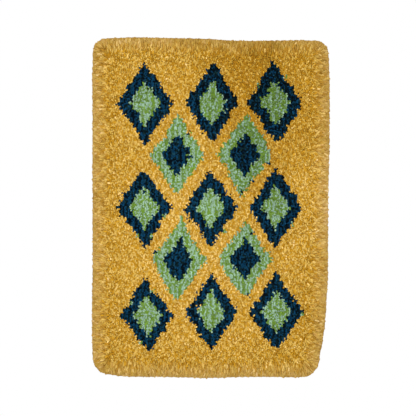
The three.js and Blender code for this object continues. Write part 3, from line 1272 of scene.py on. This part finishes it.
class TUFTING_OT_stitch_backs(bpy.types.Operator):
    """The backs of the stitches, which lie in rows on the back of the cloth"""

    bl_idname = "tufting.stitch_backs"
    bl_label = "Stitch backs"

    def execute(self, context):
        sizes = context.scene.tufting_sizes
        cloth = context.scene.cloth_sizes
        rng = np.random.default_rng(sizes.seed + 2)
        plan = StitchPlan(context)
        shows = plan.outline.inset(plan.place)[0] > cloth.hem - BACK_UNDER_HEM
        off = cloth.off_wall - cloth.thickness / 2 - BACK_OFF * BACK_THICKNESS
        total = len(plan.place)
        places = stood_off(plan.place, off)
        along = stood_off(plan.along, 0)
        along += rng.normal(0, BACK_TURN, along.shape) * (1, 0, 1)
        yarn = rng.integers(0, 2, total)
        light = rng.normal(BACK_CELL, BACK_CELL_SPREAD, total)
        columns = {
            "along": along,
            "cell_across": light.round().clip(0, CELLS_ACROSS - 1),
            "cell_up": yarn * SHADES + rng.integers(0, SHADES - 1, total),
        }
        tree = stitch_tree()
        for mix, name in enumerate(STITCH_NAMES):
            chosen = shows & (plan.mix == mix)
            picked = {column: values[chosen] for column, values in columns.items()}
            inputs = {
                "Length": sizes.stitch_pitch * BACK_LENGTH,
                "Width": BACK_WIDTH,
                "Height": BACK_THICKNESS,
                "Segments": 4,
                "Rings": 3,
                "Yarn": yarn_material(context, mix),
            }
            points = points_mesh(name, places[chosen], picked)
            backs = grown(name, tree, points, inputs, [*columns, "round_grain"])
            settled(backs, SLOTS[mix])
        return {"FINISHED"}


class TUFTING_OT_ground_cloth(bpy.types.Operator):
    """The cloth that carries the pile, with its hem turned to the back"""

    bl_idname = "tufting.ground_cloth"
    bl_label = "Ground cloth"

    def execute(self, context):
        sizes = context.scene.cloth_sizes
        cloth = thickened("ground_cloth", cloth_mesh(context), sizes.thickness)
        cloth.data.materials.append(cotton_material(context))
        settled(cloth, "ground_cloth")
        points = Outline(MAT).points
        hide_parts("tufted_mat")
        return {"FINISHED"}


# The picture's width and where its middle lies from the hanging's, in pixels
PICTURE_WIDTH = 416
RIGHT_OF_MIDDLE = -2.8
ABOVE_MIDDLE = -0.3
WIDEST_OFF_WALL = 6.6 * MM  # where the hanging's rim is widest


class TUFTING_OT_stage(bpy.types.Operator):
    """Camera, soft lamps, white surroundings and a pale floor"""

    bl_idname = "tufting.stage"
    bl_label = "Stage"

    def execute(self, context):
        stage = context.scene.stage_sizes
        low, high = (Vector(corner) for corner in CAD_BOX)
        middle = (low + high) / 2
        camera = bpy.data.cameras.new("camera")
        camera.lens = stage.lens
        camera.sensor_width = 36
        viewer = placed("camera", camera)
        distance = stage.view_width * stage.lens / camera.sensor_width
        pixel = stage.view_width / PICTURE_WIDTH
        viewer.location = (
            middle.x + RIGHT_OF_MIDDLE * pixel,
            -WIDEST_OFF_WALL - distance,
            middle.z + ABOVE_MIDDLE * pixel,
        )
        viewer.rotation_euler = (math.radians(90), 0, 0)
        context.scene.camera = viewer
        lamp("key", middle, offset=(-0.35, -1.35, 0.35), size=0.7, power=stage.key_power)
        lamp("fill", middle, offset=(0.45, -1.35, -0.05), size=0.9, power=stage.fill_power)
        world = bpy.data.worlds.new("white_room")
        context.scene.world = world
        world.use_nodes = True
        ground = world.node_tree.nodes["Background"]
        ground.inputs["Color"].default_value = (1, 1, 1, 1)
        ground.inputs["Strength"].default_value = 1.0
        context.scene.view_settings.view_transform = "Standard"
        floor(middle, low.z - stage.floor_drop)
        return {"FINISHED"}


def lamp(name, middle, offset, size, power):
    """A square lamp beside the camera that faces the hanging."""
    light = bpy.data.lights.new(name, "AREA")
    light.energy = power
    light.size = size
    holder = placed(name, light)
    holder.location = middle + Vector(offset)
    holder.rotation_euler = (-Vector(offset)).to_track_quat("-Z", "Y").to_euler()


def floor(middle, height):
    """A round pale floor, small enough to stay out of the level view."""
    shape = bmesh.new()
    bmesh.ops.create_circle(shape, cap_ends=True, segments=96, radius=1.3)
    mesh = bpy.data.meshes.new("floor")
    shape.to_mesh(mesh)
    shape.free()
    mesh.transform(Matrix.Translation((middle.x, 0, height)))
    material, tree, shader = new_material("pale_floor")
    shader.inputs["Base Color"].default_value = (0.82, 0.82, 0.80, 1)
    mesh.materials.append(material)
    placed("floor", mesh)


class TUFTING_PT_sidebar(bpy.types.Panel):
    bl_label = "Tufted hanging"
    bl_idname = "TUFTING_PT_sidebar"
    bl_space_type = "VIEW_3D"
    bl_region_type = "UI"
    bl_category = "Tufting"

    def draw(self, context):
        for operator in OPERATORS:
            self.layout.operator(operator.bl_idname)
        for label in GROUPS:
            group = getattr(context.scene, label)
            box = self.layout.box()
            for key in group.__annotations__:
                box.prop(group, key)


OPERATORS = (
    TUFTING_OT_stage,
    TUFTING_OT_edge_pile,
    TUFTING_OT_field_pile,
    TUFTING_OT_diamond_pile,
    TUFTING_OT_packed_pile,
    TUFTING_OT_stitch_backs,
    TUFTING_OT_ground_cloth,
)
GROUPS = {
    "tufting_sizes": TuftingSizes,
    "diamond_sizes": DiamondSizes,
    "yarn_colours": YarnColours,
    "cloth_sizes": ClothSizes,
    "stage_sizes": StageSizes,
}


def register():
    for label, group in GROUPS.items():
        bpy.utils.register_class(group)
        setattr(bpy.types.Scene, label, bpy.props.PointerProperty(type=group))
    for operator in OPERATORS:
        bpy.utils.register_class(operator)
    bpy.utils.register_class(TUFTING_PT_sidebar)


def unregister():
    bpy.utils.unregister_class(TUFTING_PT_sidebar)
    for operator in reversed(OPERATORS):
        bpy.utils.unregister_class(operator)
    for label, group in GROUPS.items():
        delattr(bpy.types.Scene, label)
        bpy.utils.unregister_class(group)


def main():
    register()
    bpy.ops.tufting.stage()
    bpy.ops.tufting.edge_pile()
    bpy.ops.tufting.field_pile()
    bpy.ops.tufting.diamond_pile()
    bpy.ops.tufting.packed_pile()
    bpy.ops.tufting.stitch_backs()
    bpy.ops.tufting.ground_cloth()


if __name__ == "__main__":
    main()
